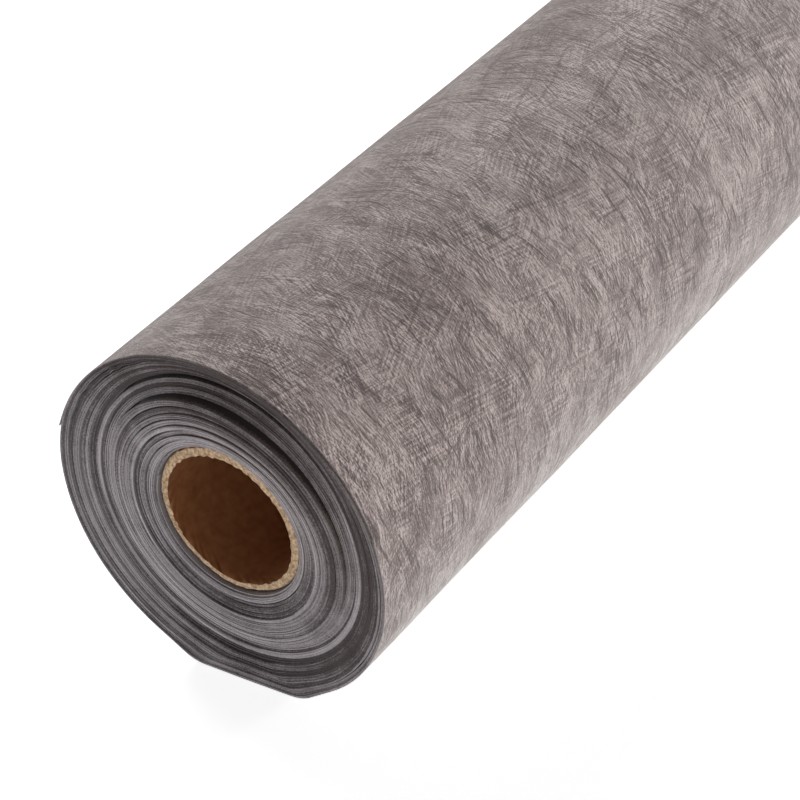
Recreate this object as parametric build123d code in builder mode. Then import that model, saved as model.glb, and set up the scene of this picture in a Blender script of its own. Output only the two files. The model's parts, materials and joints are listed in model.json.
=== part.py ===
from build123d import *
from math import cos, radians, sin, tan
import os

# A roll of house wrap: breather membrane wound on a cardboard tube and lying on a floor.
# X runs along the roll, Z is up from the floor, and the outer turns have slid out at the -X end.

# Membrane and tube, in millimetres
sheet_width = 1500.0
sheet_thickness = 0.5
roll_radius = 100.0
tube_bore = 76.2
tube_wall = 5.0
tube_fit = 0.2  # between the tube and the first turn

# Turns, which show on the ends as bands that have slid along the roll by different amounts
bands = 16
tight_bands = 11  # from the tube outwards, wound level
slide_out = 9.5  # of the last band, past the tight ones
wander = 1.1  # of the tight bands, in and out
wander_turn = 2.4  # radians from one band to the next

# The roll's own weight flattens its loose outer bands on the floor
firm_bands = 10  # from the tube outwards, still round
floor_sag = 3.2  # of the last turn at its lowest point
flank_angle = 35.0  # from straight down to where the last turn leaves the round
corner_radius = 25.0

# Free end of the last turn, in degrees from +Y upwards
tail_angle = 21.0

tube_radius = tube_bore / 2 + tube_wall
first_turn_radius = tube_radius + tube_fit
band_depth = (roll_radius - first_turn_radius) / bands
axis_height = roll_radius - floor_sag


def slide(band):
    """How far a band has moved towards -X, from where the roll was wound."""
    loose = max(0, band + 1 - tight_bands) / (bands - tight_bands)
    return slide_out * loose + wander * (1 - loose) * sin(wander_turn * band)


slides = [slide(band) for band in range(bands)]
tube_slide = slides[0]
middle_slide = (max(slides) + min(slides)) / 2


def end_plane(slid):
    """Section plane at the -X end of a band or the tube, centred on the roll's axis."""
    x = middle_slide - slid - sheet_width / 2
    return Plane((x, 0, axis_height), x_dir=(0, 1, 0), z_dir=(1, 0, 0))


def flank(radius, floor_depth, lean):
    """Where a turn leaves the round and where it meets the floor, on the +Y side."""
    leaves = (radius * sin(lean), -radius * cos(lean))
    run = (floor_depth - radius * cos(lean)) / tan(lean)
    return leaves, (leaves[0] - run, -floor_depth)


def mirrored(point):
    return (-point[0], point[1])


def turn_outline(boundary):
    """Section inside one boundary between bands: round, or flattened on the floor if it is loose."""
    radius = first_turn_radius + boundary * band_depth
    loose = max(0, boundary - firm_bands) / (bands - firm_bands)
    tail_step = sheet_thickness if boundary == bands else 0.0
    with BuildSketch(mode=Mode.PRIVATE) as outline:
        if loose == 0:
            Circle(radius)
        else:
            lean = flank_angle * loose
            floor_depth = radius - floor_sag * loose**2
            leaves, meets = flank(radius, floor_depth, radians(lean))
            tail_leaves, tail_meets = flank(radius - tail_step, floor_depth, radians(lean))
            with BuildLine():
                over_top = CenterArc((0, 0), radius, tail_angle, 270 - lean - tail_angle)
                Polyline(mirrored(leaves), mirrored(meets), tail_meets, tail_leaves)
                under_tail = CenterArc((0, 0), radius - tail_step, lean - 90, tail_angle + 90 - lean)
                if tail_step:
                    Line(under_tail @ 1, over_top @ 0)
            make_face()
            fillet(outline.vertices().group_by(Axis.Y)[0], corner_radius)
    return outline.sketch


# Membrane: each band is a full-width tube of turns, and together they are one wound roll
with BuildPart() as wound_membrane:
    for band in range(bands):
        with BuildSketch(end_plane(slides[band])):
            add(turn_outline(band + 1))
            add(turn_outline(band), mode=Mode.SUBTRACT)
        extrude(amount=sheet_width)
wound_membrane.part.label = "wound_membrane"

# Tube: cut to the membrane's width and level with the first turns
with BuildPart() as core_tube:
    with BuildSketch(end_plane(tube_slide)):
        Circle(tube_radius)
        Circle(tube_bore / 2, mode=Mode.SUBTRACT)
    extrude(amount=sheet_width)
core_tube.part.label = "core_tube"

os.makedirs("parts", exist_ok=True)
export_step(wound_membrane.part, "parts/wound_membrane.step")
export_step(core_tube.part, "parts/core_tube.step")
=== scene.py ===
import json
import math
import bpy
import numpy as np
from mathutils import Matrix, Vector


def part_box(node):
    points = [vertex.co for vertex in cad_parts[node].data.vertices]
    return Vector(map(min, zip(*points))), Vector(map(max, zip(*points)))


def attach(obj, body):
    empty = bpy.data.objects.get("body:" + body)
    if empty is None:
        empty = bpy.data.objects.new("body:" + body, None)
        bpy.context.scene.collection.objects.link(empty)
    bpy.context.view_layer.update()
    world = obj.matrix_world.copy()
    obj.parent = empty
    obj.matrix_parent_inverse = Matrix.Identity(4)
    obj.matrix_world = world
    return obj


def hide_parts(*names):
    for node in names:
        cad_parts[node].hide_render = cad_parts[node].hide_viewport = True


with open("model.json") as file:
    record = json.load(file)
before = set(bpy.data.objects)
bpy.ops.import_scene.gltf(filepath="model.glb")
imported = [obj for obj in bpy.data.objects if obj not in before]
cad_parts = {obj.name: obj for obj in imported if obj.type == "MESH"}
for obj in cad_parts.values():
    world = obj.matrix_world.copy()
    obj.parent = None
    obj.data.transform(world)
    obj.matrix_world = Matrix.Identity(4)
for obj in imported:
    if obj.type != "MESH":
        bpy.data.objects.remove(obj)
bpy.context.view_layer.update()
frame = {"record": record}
mm = 0.001
fullTurn = 2 * np.pi
smoothAngle = math.radians(40)          # faces that meet at more than this keep a sharp edge

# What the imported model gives: the roll's ends, its axis and the tube
wrapLow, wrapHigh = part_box("wound_membrane")
tubeLow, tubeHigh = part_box("core_tube")
boreMount = next(m for m in frame["record"]["mounts"] if m["name"] == "tube_bore")
axisHeight = boreMount["pos_m"][2]
boreRadius = boreMount["dims"]["r_mm"] * mm
rollRadius = wrapHigh.z - axisHeight
tubeRadius = (tubeHigh.z - tubeLow.z) / 2
nearEnd = wrapLow.x
print("frame: roll", round(rollRadius, 4), "tube", round(tubeRadius, 4), "near end", round(nearEnd, 4))


def linear(hexColour):
    channels = [int(hexColour[i:i + 2], 16) / 255 for i in (1, 3, 5)]
    return [c / 12.92 if c <= 0.04045 else ((c + 0.055) / 1.055) ** 2.4 for c in channels] + [1.0]


def addNode(tree, kind, settings=None, inputs=None):
    node = tree.nodes.new(kind)
    for name, value in (settings or {}).items():
        setattr(node, name, value)
    for name, value in (inputs or {}).items():
        if isinstance(value, bpy.types.NodeSocket):
            tree.links.new(value, node.inputs[name])
        else:
            node.inputs[name].default_value = value
    return node


def mathNode(tree, operation, *values):
    node = addNode(tree, "ShaderNodeMath", {"operation": operation}, dict(enumerate(values)))
    return node.outputs["Value"]


def mixNode(tree, share, first, second):
    return addNode(tree, "ShaderNodeMix", {"data_type": "FLOAT"},
                   {"Factor": share, "A": first, "B": second}).outputs["Result"]


def colourRamp(tree, value, stops):
    # Stops are a position and a colour each, the lowest first
    ramp = addNode(tree, "ShaderNodeValToRGB", None, {"Fac": value})
    elements = ramp.color_ramp.elements
    for element, (position, colour) in ((elements[0], stops[0]), (elements[1], stops[-1])):
        element.position = position
        element.color = linear(colour)
    for position, colour in stops[1:-1]:
        elements.new(position).color = linear(colour)
    return ramp.outputs["Color"]


def raised(tree, height, strength, distance):
    return addNode(tree, "ShaderNodeBump", None,
                   {"Height": height, "Strength": strength, "Distance": distance}).outputs["Normal"]


def newMaterial(name):
    material = bpy.data.materials.new(name)
    material.use_nodes = True
    tree = material.node_tree
    tree.nodes.clear()
    return material, tree


def endMaterial(tree, inputs):
    shader = addNode(tree, "ShaderNodeBsdfPrincipled", None, inputs)
    addNode(tree, "ShaderNodeOutputMaterial", None, {"Surface": shader.outputs["BSDF"]})


def smoothStep(value, low, high):
    share = np.clip((value - low) / (high - low), 0, 1)
    return share * share * (3 - 2 * share)


def turnedFrom(middle, angle):
    # The angle from a direction, the short way round
    return (angle - middle + np.pi) % fullTurn - np.pi


def sideLobe(angle, middle, spread):
    away = np.abs(turnedFrom(middle, angle))
    return np.cos(np.clip(away / spread, 0, 1) * np.pi / 2) ** 2


def selectOnly(obj):
    bpy.ops.object.select_all(action="DESELECT")
    obj.select_set(True)
    bpy.context.view_layer.objects.active = obj


def flatGrid(name, columns, rows):
    # A grid and where its points lie along and across it, from 0 to 1
    bpy.ops.object.select_all(action="DESELECT")
    bpy.ops.mesh.primitive_grid_add(x_subdivisions=columns, y_subdivisions=rows, size=1, calc_uvs=True)
    grid = bpy.context.object
    grid.name = name
    grid.data.name = name
    flat = np.zeros(len(grid.data.vertices) * 3)
    grid.data.vertices.foreach_get("co", flat)
    return grid, flat[0::3] + 0.5, flat[1::3] + 0.5


def placeRound(obj, x, radius, angle):
    points = np.column_stack([x, radius * np.cos(angle), axisHeight + radius * np.sin(angle)])
    obj.data.vertices.foreach_set("co", points.astype(np.float32).ravel())
    obj.data.update()


# The roll as it was wound and as it lies
winding = {
    "turns": 110,
    "sheetWidth": 1.5,
    "fill": 0.88,                       # the sheet's share of the room that a turn has
    "tubeClearance": 0.25 * mm,
    "firstSheet": 0.45 * mm,
    "tailAngle": math.radians(21),      # free edge of the last turn, from +Y upwards
    "firmRadius": 78.7 * mm,            # turns inside this stay round
    "floorSag": 3.2 * mm,
    "floorReach": math.radians(75),     # most that the floor's flat can span, from straight down
    "flankAngle": math.radians(35),
    "cornerBlend": 4.6 * mm,
    "outerTurns": 1.3,                  # made as their own piece, with the membrane's face
    "stripDepth": 30 * mm,              # how deep the turns are made behind the ends
    "stepsPerTurn": 150,
}

# How far the edge of a turn lies behind the last turn's: share of the roll's radius, mm
recessProfile = [
    (0.43, 8.8), (0.46, 7.6), (0.55, 5.2), (0.62, 4.7), (0.70, 5.6), (0.722, 5.8), (0.726, 7.2),
    (0.76, 8.4), (0.81, 7.6), (0.82, 6.6), (0.86, 5.6), (0.92, 3.2), (1.0, 0.0),
]

# Crescent gaps between loose turns: share of the radius, widest gap in mm, its angle, half its spread
looseGaps = [
    (0.42, 1.1, 300, 110), (0.445, 0.6, 95, 110), (0.475, 0.9, 250, 90), (0.495, 0.8, 60, 80),
    (0.525, 0.9, 90, 80), (0.555, 0.9, 50, 80), (0.585, 0.9, 100, 80), (0.615, 1.0, 70, 80),
    (0.645, 1.0, 95, 80), (0.68, 1.1, 70, 70), (0.724, 4.2, 106, 78), (0.765, 0.5, 290, 90),
    (0.785, 0.9, 85, 55), (0.816, 4.0, 112, 90), (0.90, 0.7, 95, 60), (0.935, 0.9, 48, 50),
    (0.955, 0.9, 42, 50), (0.96, 0.7, 200, 60), (0.985, 1.0, 112, 50),
]

# The side where the turns are loose and have slid further back
sunkSide = {
    "angle": math.radians(110),
    "spread": math.radians(85),
    "depths": [                         # share of the radius, mm
        (0.56, 0.0), (0.64, 0.7), (0.722, 0.2), (0.726, 0.3), (0.77, 2.0), (0.813, 4.6),
        (0.819, 3.8), (0.88, 3.0), (0.94, 2.4), (0.985, 2.0), (1.0, 3.6),
    ],
    "nick": 1.3 * mm,                   # in the edge of the last turn
    "nickRise": (math.radians(125), math.radians(163)),
    "nickDrop": (math.radians(165.5), math.radians(168)),
}

# Bundles of turns that slid along together
bundling = {
    "longest": 8,                       # turns without a split
    "turns": (2.5, 6.5),
    "offset": (0.25, 0.95),             # mm, out and in by turns
    "ease": 0.35,                       # turns in which one bundle runs into the next
    "ownShare": 0.65,                   # of the bundle's one depth, beside the turn's own
    "wander": [                         # waves a turn, mm
        (0.37, 0.12), (0.83, 0.12), (1.61, 0.09), (2.29, 0.08), (4.7, 0.06), (9.3, 0.05),
    ],
    "settling": 2.5,                    # turns from the tail where the edges begin to lie flush
    "flush": 1.2,
}

# How light the edge of a turn is: random tones by bundle and turn, with painted light and painted shade
edgeShade = {
    "proud": 0.33,                      # painted light on turns that stand out, painted shade on those set back
    "proudRange": 2.4 * mm,
    "bundle": 0.25,
    "turn": 0.42,
    # painted shade on the upper side of the end, where loose turns sank back
    "loose": -0.25,
    "paintedShadeSide": math.radians(20),
    "paintedShadeShare": (0.68, 0.75),
    "paintedBands": [                           # darker bands of painted shade, and two lighter bands: share of the radius, its spread, degrees, amount
        (0.875, 0.05, 235, -0.5), (0.86, 0.06, 65, -0.35), (0.89, 0.04, 160, -0.35),
        (0.96, 0.03, 80, -0.2), (0.66, 0.04, 145, -0.3), (0.50, 0.03, 245, -0.2),
        (0.68, 0.08, 305, 0.28), (0.54, 0.07, 120, 0.22),
    ],
}

# Where the loose outer turns ripple
ripple = {
    "angle": math.radians(52),
    "spread": math.radians(26),
    "share": 0.95,
    "shareSpread": 0.022,
    "height": 0.7 * mm,
    "waves": 58,
    "unevenness": 3,
    "unevenWaves": 9,
}

rng = np.random.default_rng(7)
roundSamples = 720
tiny = 1e-9                             # keeps the blend from dividing by nothing where the roll is firm
firstRadius = tubeRadius + winding["tubeClearance"] + winding["firstSheet"]


def turnAngle(turn):
    return winding["tailAngle"] + fullTurn * (winding["turns"] - turn)


def turnAt(share, angle):
    # The first turn beyond a share of the radius that passes an angle
    turn = (share * rollRadius - firstRadius) / (rollRadius - firstRadius) * winding["turns"]
    return turn + (turnAngle(turn) - angle) / fullTurn % 1


def radiusShare(turn):
    return (firstRadius + (rollRadius - firstRadius) * turn / winding["turns"]) / rollRadius


gaps = []
for share, size, angle, spread in looseGaps:
    middle = math.radians(angle)
    gaps.append((turnAt(share, middle + np.pi), size * mm, middle, math.radians(spread)))


def gapWidth(gap, angle):
    start, size, middle, spread = gap
    return size * sideLobe(angle, middle, spread)


def turnRoom(angle):
    opened = sum(gapWidth(gap, angle) for gap in gaps)
    return (rollRadius - firstRadius - opened) / winding["turns"]


def woundRadius(turn):
    angle = turnAngle(turn)
    below = sum(gapWidth(gap, angle) * (turn > gap[0]) for gap in gaps)
    return firstRadius + turnRoom(angle) * turn + below


def slumpedRadius(radius, angle):
    # Loose turns lie flat on the floor and lean over it at both sides
    loose = np.clip((radius - winding["firmRadius"]) / (rollRadius - winding["firmRadius"]), 0, 1)
    fromDown = np.abs(turnedFrom(-np.pi / 2, angle))
    lean = winding["flankAngle"] * loose
    flank = radius / np.cos(np.clip(lean - fromDown, 0, None))
    floorDepth = radius - winding["floorSag"] * loose ** 2
    flat = floorDepth / np.cos(np.clip(fromDown, 0, winding["floorReach"]))
    blend = winding["cornerBlend"] * loose ** 2 + tiny
    mix = np.clip(0.5 + 0.5 * (flank - flat) / blend, 0, 1)
    return flank + (flat - flank) * mix - blend * mix * (1 - mix)


roomMost = turnRoom(np.linspace(0, fullTurn, roundSamples)).max()

# Each bundle is a few turns, and a gap always splits two
bundleEdges = [0.0]
for stop in sorted(start for start, _, _, _ in gaps) + [float(winding["turns"])]:
    while stop - bundleEdges[-1] > bundling["longest"]:
        bundleEdges.append(bundleEdges[-1] + rng.uniform(*bundling["turns"]))
    bundleEdges.append(max(stop, bundleEdges[-1] + 1))
bundleEdges = np.array(bundleEdges)
bundleSides = np.where(np.arange(len(bundleEdges)) % 2, 1, -1)
bundleOffsets = rng.uniform(*bundling["offset"], len(bundleEdges)) * bundleSides * mm
bundleTones = rng.uniform(0, 1, len(bundleEdges))
turnTones = rng.uniform(0, 1, winding["turns"] + 2)
wanderTones = [(waves, rng.uniform(0, fullTurn), size * mm) for waves, size in bundling["wander"]]


def bundleOf(turn):
    return np.clip(np.searchsorted(bundleEdges, turn, side="right") - 1, 0, len(bundleEdges) - 2)


def recessAt(turn):
    shares, depths = zip(*recessProfile)
    return np.interp(radiusShare(turn), shares, depths) * mm


def sunkAt(turn, angle):
    s = sunkSide
    depth = np.interp(radiusShare(turn), *zip(*s["depths"])) * mm
    turned = angle % fullTurn
    nick = smoothStep(turned, *s["nickRise"]) * (1 - smoothStep(turned, *s["nickDrop"])) * s["nick"]
    fromTail = winding["turns"] - turn
    outermost = 1 - smoothStep(fromTail, winding["outerTurns"], bundling["settling"])
    return sideLobe(angle, s["angle"], s["spread"]) * depth + outermost * nick


def edgeRecess(turn):
    index = bundleOf(turn)
    nextIndex = np.clip(index + 1, 0, len(bundleEdges) - 2)
    middles = np.minimum((bundleEdges[:-1] + bundleEdges[1:]) / 2, winding["turns"])
    level = recessAt(middles) + bundleOffsets[:-1]
    intoNext = smoothStep(turn, bundleEdges[index + 1] - bundling["ease"], bundleEdges[index + 1])
    bundled = level[index] + (level[nextIndex] - level[index]) * intoNext
    wander = sum(size * np.sin(fullTurn * waves * turn + phase) for waves, phase, size in wanderTones)
    depth = (1 - bundling["ownShare"]) * recessAt(turn) + bundling["ownShare"] * bundled + wander
    return depth * smoothStep(winding["turns"] - turn, bundling["flush"], bundling["settling"])


def edgeTone(turn, angle):
    s = edgeShade
    index = bundleOf(turn)
    # Painted light where a bundle stands out, painted shade where it is set back
    proud = np.clip(0.5 - bundleOffsets[index] / s["proudRange"], 0, 1)
    whole = np.clip(turn, 0, winding["turns"]).astype(int)
    between = smoothStep(turn - whole, 0, 1)
    own = turnTones[whole] * (1 - between) + turnTones[whole + 1] * between
    share = radiusShare(turn)
    # Painted shade on the upper side of the end, where loose turns sank back
    loose = np.clip(np.sin(angle - s["paintedShadeSide"]), 0, 1) * smoothStep(share, *s["paintedShadeShare"])
    tone = s["proud"] * proud + s["bundle"] * bundleTones[index] + s["turn"] * own + s["loose"] * loose
    # Darker bands of painted shade, and two lighter bands
    for middle, width, side, amount in s["paintedBands"]:
        towards = np.clip(np.cos(angle - math.radians(side)), 0, 1)
        tone = tone + amount * towards * np.exp(-((share - middle) / width) ** 2)
    return tone


def edgeRipple(turn, angle):
    r = ripple
    turned = turnedFrom(r["angle"], angle)
    fromShare = woundRadius(turn) / rollRadius - r["share"]
    patch = np.exp(-(turned / r["spread"]) ** 2) * np.exp(-(fromShare / r["shareSpread"]) ** 2)
    uneven = r["unevenness"] * np.sin(turned * r["unevenWaves"])
    return r["height"] * patch * np.sin(turned * r["waves"] + uneven)


def windStrip(name, firstTurn, lastTurn, steps, rows, rowPlace, lift=None):
    # A flat strip of membrane is laid out as a grid and wound up on the tube
    strip, along, fromFar = flatGrid(name, steps, rows)
    across = rowPlace(1 - fromFar)      # from the near edge, so that faces point outwards
    turn = firstTurn + along * (lastTurn - firstTurn)
    angle = turnAngle(turn)
    radius = woundRadius(turn)
    if lift is not None:
        radius = radius + lift(turn, angle, across)
    radius = slumpedRadius(radius, angle) + edgeRipple(turn, angle)
    placeRound(strip, nearEnd + edgeRecess(turn) + sunkAt(turn, angle) + across, radius, angle)
    uv = strip.data.uv_layers.active.data
    places = np.zeros(len(uv) * 2)
    uv.foreach_get("uv", places)
    places[0::2] = places[0::2] * (lastTurn - firstTurn) * fullTurn * rollRadius
    places[1::2] = rowPlace(1 - places[1::2])
    uv.foreach_set("uv", places.astype(np.float32))
    loft = strip.vertex_groups.new(name="loft")
    for number, weight in enumerate((turnRoom(angle) / roomMost).tolist()):
        loft.add([number], weight, "REPLACE")
    tone = strip.data.attributes.new("edgeTone", "FLOAT", "POINT")
    tone.data.foreach_set("value", edgeTone(turn, angle).astype(np.float32))
    return strip


def thicken(strip, materials):
    selectOnly(strip)
    for material in materials:
        strip.data.materials.append(material)
    wall = strip.modifiers.new("sheet", "SOLIDIFY")
    wall.thickness = winding["fill"] * roomMost
    wall.vertex_group = "loft"
    wall.offset = -1
    wall.material_offset = 1
    wall.material_offset_rim = 2
    bpy.ops.object.modifier_apply(modifier=wall.name)
    bpy.ops.object.shade_smooth_by_angle(angle=smoothAngle)


# Spunbond polyolefin membrane: fine filaments pressed in short dashes, matt with a soft sheen at a slant
membraneFinish = {
    "tones": [(0.0, "#473937"), (0.5, "#8b7874"), (1.0, "#d6c4be")],
    "fuzz": [(0.1, "#d2c8c4"), (0.9, "#ffffff")],
    "roughness": 0.8,
    "refraction": 1.49,
    "sheen": 1.0,
    "sheenRoughness": 0.5,
    "relief": (0.5, 0.3 * mm),
    "waviness": (0.7, 22),              # mm that short strokes stray from straight, over how many mm
    "bow": (9.0, 70),                   # the same for creases
    "ground": 0.53,                     # tone without any stroke
    "noiseDetail": 2.0,
    "noiseRoughness": 0.55,
    "apart": (0.37, 0.61),              # from the place of one pattern to the next one's
    "patchEdge": (0.44, 0.62),
    "patchShift": 40,
    # Length and width in mm, degrees from round the roll, from, to, weight, size of its patches in mm
    "strokes": [
        (1.0, 1.0, 0, 0.28, 0.72, 0.4, 0),              # felt
        (4.6, 0.75, 3, 0.28, 0.72, 0.48, 0),            # pressed dashes
        (4.4, 0.75, 24, 0.28, 0.72, 0.42, 24),
        (4.4, 0.75, -18, 0.28, 0.72, 0.42, 28),
        (24, 1.3, 8, 0.3, 0.7, 0.55, 22),               # sheaves of filaments
        (24, 1.3, -13, 0.3, 0.7, 0.55, 26),
        (28, 1.2, 30, 0.3, 0.7, 0.55, 24),
        (34, 1.3, 66, 0.3, 0.7, 0.4, 30),
        (34, 1.3, 102, 0.3, 0.7, 0.4, 32),
        (2.4, 1.3, 12, 0.58, 0.70, 0.65, 16),           # bright specks
        (40, 3.0, -13, 0.54, 0.70, -0.6, 48),           # soft dark creases: painted shade along shallow dents, which the bump also presses in
        (34, 2.6, -2, 0.54, 0.70, -0.6, 56),
        (150, 5.0, 74, 0.58, 0.74, -0.34, 150),
        (90, 3.6, 95, 0.58, 0.74, -0.3, 130),
        (22, 14, 10, 0.3, 0.7, 0.3, 0),                 # clouds
        (90, 60, 40, 0.3, 0.7, 0.22, 0),
    ],
}


def spunbondFace():
    f = membraneFinish
    material, tree = newMaterial("spunbond_membrane_face")
    uv = addNode(tree, "ShaderNodeUVMap").outputs["UV"]

    def noise(vector, length, width, degrees, shift, detail):
        place = addNode(tree, "ShaderNodeMapping", {"vector_type": "TEXTURE"}, {
            "Vector": vector,
            "Location": (f["apart"][0] * shift, f["apart"][1] * shift, 0),
            "Rotation": (0, 0, math.radians(degrees)),
            "Scale": (length * mm, width * mm, 1)})
        return addNode(tree, "ShaderNodeTexNoise", None, {
            "Vector": place.outputs["Vector"], "Scale": 1.0,
            "Detail": detail, "Roughness": f["noiseRoughness"]}).outputs

    def patches(size, shift):
        return noise(uv, size, size, 0, shift, 1.0)

    def spread(value, low, high, middle=0.0):
        return addNode(tree, "ShaderNodeMapRange", {"interpolation_type": "SMOOTHSTEP"}, {
            "Value": value, "From Min": low, "From Max": high,
            "To Min": -middle, "To Max": 1 - middle}).outputs["Result"]

    def strayed(amount, size):
        reach = 2 * amount * mm
        warp = addNode(tree, "ShaderNodeVectorMath", {"operation": "SUBTRACT"},
                       {0: patches(size, size)["Color"], 1: (0.5, 0.5, 0.5)})
        return addNode(tree, "ShaderNodeVectorMath", {"operation": "MULTIPLY_ADD"},
                       {0: warp.outputs["Vector"], 1: (reach, reach, 0), 2: uv}).outputs["Vector"]

    bent = strayed(*f["waviness"])
    bowed = strayed(*f["bow"])
    tone = f["ground"]
    for number, (length, width, degrees, low, high, weight, patch) in enumerate(f["strokes"], 1):
        way = bowed if weight < 0 else bent
        middle = 0.5 if low < 0.5 else 0.0
        stroke = noise(way, length, width, degrees, number, f["noiseDetail"])["Fac"]
        stroke = spread(stroke, low, high, middle)
        if patch:
            gate = spread(patches(patch, number + f["patchShift"])["Fac"], *f["patchEdge"])
            stroke = mathNode(tree, "MULTIPLY", stroke, gate)
        tone = mathNode(tree, "MULTIPLY_ADD", stroke, weight, tone)
    endMaterial(tree, {
        "Base Color": colourRamp(tree, tone, f["tones"]),
        "Roughness": f["roughness"], "IOR": f["refraction"],
        "Sheen Weight": f["sheen"], "Sheen Roughness": f["sheenRoughness"],
        "Sheen Tint": colourRamp(tree, tone, f["fuzz"]), "Normal": raised(tree, tone, *f["relief"])})
    return material


# The same membrane where it is wound up or cut: dull felt, lighter and darker from turn to turn, partly
# at random and partly as painted light and painted shade
feltFinish = {
    "fibre": 1.0 * mm,
    "fibreDetail": 3.0,
    "fibreRoughness": 0.65,
    "patch": 14 * mm,
    "patchDetail": 2.0,
    "patchShare": 0.3,
    "turnShare": 0.45,                  # of the turn's tone, which is random and also carries painted light and painted shade
    "litEdgeDepth": 4 * mm,                   # cut filaments make the strip before an edge paler; the ramp is also painted light near the edge and painted shade deeper in
    "stops": (0.37, 0.63),
    "relief": (0.5, 0.3 * mm),
    "roughness": 0.85,
    "sheen": 0.4,
    "sheenRoughness": 0.4,
}


def spunbondFelt(name, dark, light, edgeLightShade):
    f = feltFinish
    material, tree = newMaterial(name)
    place = addNode(tree, "ShaderNodeTexCoord").outputs
    fibres = addNode(tree, "ShaderNodeTexNoise", None, {
        "Vector": place["Object"], "Scale": 1 / f["fibre"],
        "Detail": f["fibreDetail"], "Roughness": f["fibreRoughness"]}).outputs["Fac"]
    patch = addNode(tree, "ShaderNodeTexNoise", None, {
        "Vector": place["Object"], "Scale": 1 / f["patch"], "Detail": f["patchDetail"]}).outputs["Fac"]
    # Random tones by turn, with painted light and painted shade
    turnTone = addNode(tree, "ShaderNodeAttribute", {"attribute_name": "edgeTone"}).outputs["Fac"]
    tone = mixNode(tree, f["turnShare"], mixNode(tree, f["patchShare"], fibres, patch), turnTone)
    fromNear = addNode(tree, "ShaderNodeSeparateXYZ", None, {"Vector": place["UV"]}).outputs["Y"]
    fromFar = mathNode(tree, "SUBTRACT", winding["sheetWidth"], fromNear)
    # Partly paler cut filaments, partly painted light near the edge and painted shade further behind it
    pale = addNode(tree, "ShaderNodeMapRange", None, {
        "Value": mathNode(tree, "MINIMUM", fromNear, fromFar), "From Max": f["litEdgeDepth"],
        "To Min": edgeLightShade, "To Max": -edgeLightShade}).outputs["Result"]
    stops = list(zip(f["stops"], (dark, light)))
    endMaterial(tree, {
        "Base Color": colourRamp(tree, mathNode(tree, "ADD", tone, pale), stops),
        "Roughness": f["roughness"], "IOR": membraneFinish["refraction"],
        "Sheen Weight": f["sheen"], "Sheen Roughness": f["sheenRoughness"],
        "Normal": raised(tree, fibres, *f["relief"])})
    return material


faceMaterial = spunbondFace()
# The membrane's face where it is wound in: painted darker than the outer turn's face as painted shade of
# the crevices, and warmer
shadedInsideMaterial = spunbondFelt("spunbond_membrane_wound_face_shaded", "#3a2d2a", "#b09f98", 0.15)
backMaterial = spunbondFelt("spunbond_membrane_back", "#463e3e", "#a8a3a9", 0.12)
cutMaterial = spunbondFelt("spunbond_membrane_cut_edge", "#473d3e", "#ccc4c8", 0.0)
turnsUnder = winding["turns"] - winding["outerTurns"]
stripSteps = int(turnsUnder * winding["stepsPerTurn"])


def nearRows(across):
    return across * winding["stripDepth"]


def farRows(across):
    return winding["sheetWidth"] - (1 - across) * winding["stripDepth"]


nearTurns = windStrip("near_turns", 0, turnsUnder, stripSteps, 1, nearRows)
farTurns = windStrip("far_turns", 0, turnsUnder, stripSteps, 1, farRows)
print("turns wound:", len(nearTurns.data.vertices), "points an end")

outerSheet = {
    "rows": 64,
    "steps": 480,
    "crowding": 0.8,                    # rows lie closer near both ends
    "swell": 0.35 * mm,
    "broad": (31, 5, 9),                # radians a metre along, waves round, radians a metre of slant
    "fine": (67, 7, -13),
    "fineShare": 0.6,
    "fineSlant": 3,
    "wander": (2.1, 2, 1),              # radians, waves round, where they start
    "tailLift": 0.9 * mm,               # of the free edge
    "tailReach": 9 * mm,
}


def outerRows(across):
    crowd = outerSheet["crowding"]
    return winding["sheetWidth"] * (across - crowd * np.sin(fullTurn * across) / fullTurn)


def outerLift(turn, angle, x):
    s = outerSheet
    along, waves, slant = s["broad"]
    stray, strayWaves, strayStart = s["wander"]
    wander = stray * np.sin(angle * strayWaves + strayStart)
    swell = np.sin(x * along + wander) * np.sin(angle * waves + slant * x)
    along, waves, slant = s["fine"]
    fine = np.sin(x * along + angle * s["fineSlant"]) * np.sin(angle * waves + slant * x)
    swell = swell + s["fineShare"] * fine
    fromTail = (winding["turns"] - turn) * fullTurn * rollRadius
    return s["swell"] * (swell - 1) / 2 + s["tailLift"] * np.exp(-fromTail / s["tailReach"])


outerTurn = windStrip("outer_turn", turnsUnder, winding["turns"], outerSheet["steps"],
                      outerSheet["rows"], outerRows, outerLift)
for piece in (nearTurns, farTurns, outerTurn):
    thicken(piece, [faceMaterial if piece == outerTurn else shadedInsideMaterial, backMaterial, cutMaterial])
    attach(piece, "root")
    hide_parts("wound_membrane")
print("outer turn:", len(outerTurn.data.polygons), "faces")

# Spirally wound board tube with a rough cut at both ends
tubeShape = {
    "columns": 160,
    "boreRows": 400,
    "boreSkin": 0.1 * mm,               # rows nearer to the bore than this are its own
    "plyTurns": 9,                      # of the inside ply's seam along the tube
    "seamDepth": 0.3 * mm,
    "seamWidth": 0.7,                   # columns
    "rimSteps": [0.3, 0.0, 0.1, 0.0, 0.2, 0.4, 1.8],    # mm along the tube, bore to outside
    "lean": 0.8 * mm,                   # of the bore at its near mouth
    "leanDepth": 12 * mm,
    "leanAngle": math.radians(300),
    "rough": 0.32 * mm,
    "waves": 14,                        # in one waver
    "broadFray": (3, 2, 9),             # seed, fewest and most waves round
    "fineFray": (5, 20, 60),
    "fineShare": 0.6,
    "fineSlant": 900,                   # radians a metre of the wall
    "edgeFray": (9, 15, 50),
    "weld": 0.02 * mm,
    "cutFacing": 0.5,                   # faces that look along the tube by more than this are cut
}


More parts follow.
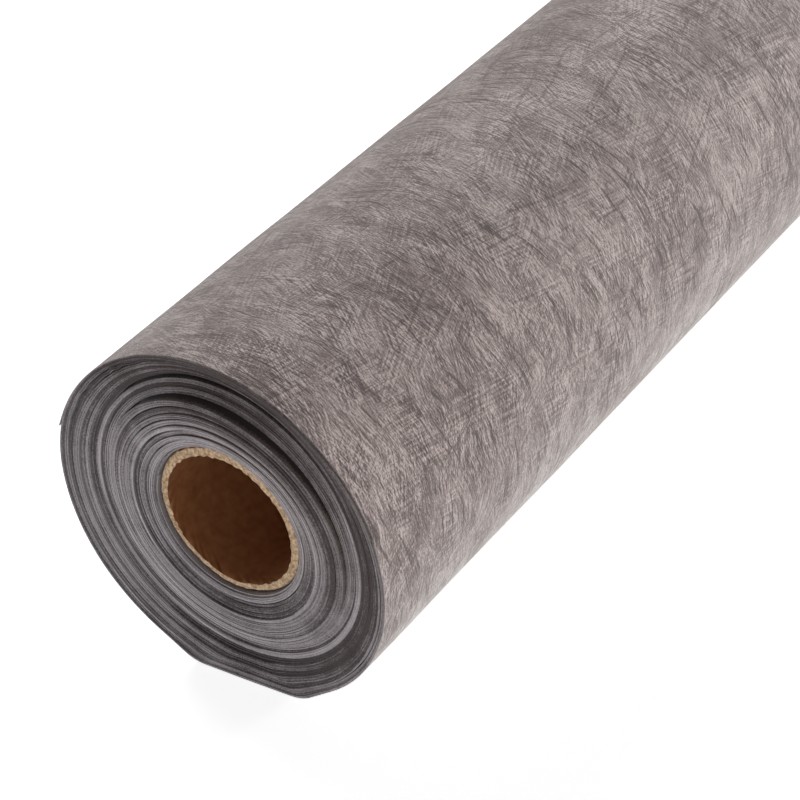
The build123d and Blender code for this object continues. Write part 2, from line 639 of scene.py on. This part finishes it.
def waver(angle, seed, fewest, most):
    count = tubeShape["waves"]
    draws = np.random.default_rng(seed)
    waves = draws.integers(fewest, most, count)
    phases = draws.uniform(0, fullTurn, count)
    return sum(np.sin(k * angle + p) for k, p in zip(waves, phases)) / count ** 0.5


def boardTube():
    s = tubeShape
    lastBore = s["boreRows"]
    rim = np.linspace(boreRadius, tubeRadius, len(s["rimSteps"]))
    steps = np.array(s["rimSteps"]) * mm
    boreX = np.linspace(tubeLow.x + steps[0], tubeHigh.x - steps[0], lastBore + 1)
    pathX = np.concatenate([boreX, tubeHigh.x - steps[1:], tubeLow.x + steps[::-1]])
    pathR = np.concatenate([np.full(len(boreX), boreRadius), rim[1:], rim[::-1]])
    rows = len(pathX) - 1
    tube, around, across = flatGrid("board_tube", s["columns"], rows)
    row = np.rint(across * rows).astype(int)
    inBore = row <= lastBore
    angle = fullTurn * (around + np.where(inBore, row / lastBore * s["plyTurns"], 0))
    atSeam = inBore * np.exp(-((around - 0.5) * s["columns"] / s["seamWidth"]) ** 2)
    radius = pathR[row] + atSeam * s["seamDepth"]
    nearRim = (row > lastBore + len(rim)) | (row == 0)
    farRim = (row >= lastBore) & (row <= lastBore + len(rim) - 1)
    frayed = waver(angle, *s["broadFray"])
    frayed = frayed + s["fineShare"] * waver(angle + radius * s["fineSlant"], *s["fineFray"])
    x = pathX[row] + s["rough"] * frayed * (nearRim * 1.0 - farRim * 1.0)
    edge = (row == 0) | (row == lastBore) | (row == rows)
    radius = radius + edge * s["rough"] * waver(angle, *s["edgeFray"])
    leaning = s["lean"] * np.exp(-np.abs(x - tubeLow.x) / s["leanDepth"])
    leaning = leaning * (pathR[row] < boreRadius + s["boreSkin"])
    radius = radius + leaning * np.cos(angle - s["leanAngle"])
    placeRound(tube, x, radius, angle)
    selectOnly(tube)
    bpy.ops.object.mode_set(mode="EDIT")
    bpy.ops.mesh.select_all(action="SELECT")
    bpy.ops.mesh.remove_doubles(threshold=s["weld"])
    bpy.ops.mesh.normals_make_consistent(inside=False)
    bpy.ops.object.mode_set(mode="OBJECT")
    bpy.ops.object.shade_smooth_by_angle(angle=smoothAngle)
    return tube


# Kraft board: warm brown and matt, mottled where it is smooth and pale where it is cut
boardFinish = {
    "detail": 4.0,
    "stops": (0.3, 0.7),
    "relief": (0.3, 0.15 * mm),
    "roughness": 0.8,
}


def kraftBoard(name, dark, light, grain):
    f = boardFinish
    material, tree = newMaterial(name)
    place = addNode(tree, "ShaderNodeTexCoord").outputs["Object"]
    fibres = addNode(tree, "ShaderNodeTexNoise", None,
                     {"Vector": place, "Scale": 1 / grain, "Detail": f["detail"]}).outputs["Fac"]
    stops = list(zip(f["stops"], (dark, light)))
    endMaterial(tree, {
        "Base Color": colourRamp(tree, fibres, stops), "Roughness": f["roughness"],
        "Normal": raised(tree, fibres, *f["relief"])})
    return material


tube = boardTube()
tube.data.materials.append(kraftBoard("kraft_board_inside", "#945a30", "#ae7346", 5.0 * mm))
tube.data.materials.append(kraftBoard("kraft_board_cut_edge", "#94704d", "#f0d3b0", 1.7 * mm))
for face in tube.data.polygons:
    face.material_index = 1 if abs(face.normal.x) > tubeShape["cutFacing"] else 0
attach(tube, "root")
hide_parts("core_tube")
print("tube:", len(tube.data.polygons), "faces")

# Floor, light and camera
studio = {
    "white": (1, 1, 1, 1),
    "floorSize": 12.0,
    "floorColour": "#f2f2f2",
    "floorGlow": 0.8,                   # white that the camera sees besides the floor's light and shadow
    "world": 0.12,
}


def seenDirectly(tree):
    path = addNode(tree, "ShaderNodeLightPath").outputs
    either = mathNode(tree, "MAXIMUM", path["Is Camera Ray"], path["Is Glossy Ray"])
    return mathNode(tree, "MAXIMUM", either, path["Is Transmission Ray"])


def uprightAxes(back):
    right = np.cross((0, 0, 1), back)
    right = right / np.linalg.norm(right)
    return right, np.cross(back, right)


def setAxes(obj, place, right, up, back):
    axes = Matrix(np.column_stack([right, up, back]).tolist())
    obj.matrix_world = Matrix.Translation(place) @ axes.to_4x4()


bpy.ops.object.select_all(action="DESELECT")
bpy.ops.mesh.primitive_plane_add(size=studio["floorSize"], location=(0, 0, 0))
floor = bpy.context.object
floor.name = "floor"
material, tree = newMaterial("pale_floor")
glow = mathNode(tree, "MULTIPLY", seenDirectly(tree), studio["floorGlow"])
matt = addNode(tree, "ShaderNodeBsdfDiffuse", None, {"Color": linear(studio["floorColour"])})
white = addNode(tree, "ShaderNodeEmission", None, {"Color": studio["white"], "Strength": glow})
both = addNode(tree, "ShaderNodeAddShader", None, {0: matt.outputs["BSDF"], 1: white.outputs["Emission"]})
addNode(tree, "ShaderNodeOutputMaterial", None, {"Surface": both.outputs["Shader"]})
floor.data.materials.append(material)

world = bpy.data.worlds.new("studio")
world.use_nodes = True
bpy.context.scene.world = world
strength = addNode(world.node_tree, "ShaderNodeMapRange", None, {
    "Value": seenDirectly(world.node_tree), "To Min": studio["world"], "To Max": 1.0})
background = world.node_tree.nodes["Background"]
background.inputs["Color"].default_value = studio["white"]
world.node_tree.links.new(strength.outputs["Result"], background.inputs["Strength"])

# Soft boxes behind on both sides, the right one low and far, and a small low one before the near end
lamps = [
    ("left_back", (0.4, 1.9, 1.5), (1.4, 1.4), 45, (-0.4, 0, 0.1)),
    ("right_back", (5.0, -3.2, 0.4), (2.0, 0.7), 400, (-0.4, 0, 0.08)),
    ("near_end", (-2.3, -0.3, 0.12), (1.2, 0.2), 9, (-0.75, 0, 0.1)),
]
for name, place, size, power, aim in lamps:
    bpy.ops.object.light_add(type="AREA", location=place)
    lamp = bpy.context.object
    lamp.name = name
    lamp.data.shape = "RECTANGLE"
    lamp.data.size, lamp.data.size_y = size
    lamp.data.energy = power
    fromAim = np.array(place) - np.array(aim)
    back = fromAim / np.linalg.norm(fromAim)
    setAxes(lamp, place, *uprightAxes(back), back)
print("studio:", len(lamps), "lamps")

# Camera, measured from the photograph
view = {
    "azimuth": math.radians(-51.22),
    "elevation": math.radians(33.90),
    "roll": math.radians(-8.34),
    "lens": 111.06,
    "sensor": 36,
    "fromNearEnd": (-7.00421, -6.88576, 8.14613),   # in roll radii
}
azimuth, elevation, roll = view["azimuth"], view["elevation"], view["roll"]
level = math.cos(elevation)
back = np.array([math.sin(azimuth) * level, -math.cos(azimuth) * level, math.sin(elevation)])
side, rise = uprightAxes(back)
right = math.cos(roll) * side + math.sin(roll) * rise
up = math.cos(roll) * rise - math.sin(roll) * side
place = np.array(view["fromNearEnd"]) * rollRadius + np.array([nearEnd, 0, 0])
bpy.ops.object.camera_add()
camera = bpy.context.object
camera.data.sensor_width = view["sensor"]
camera.data.lens = view["lens"]
setAxes(camera, place.tolist(), right, up, back)
bpy.context.scene.camera = camera
bpy.context.scene.view_settings.view_transform = "Standard"
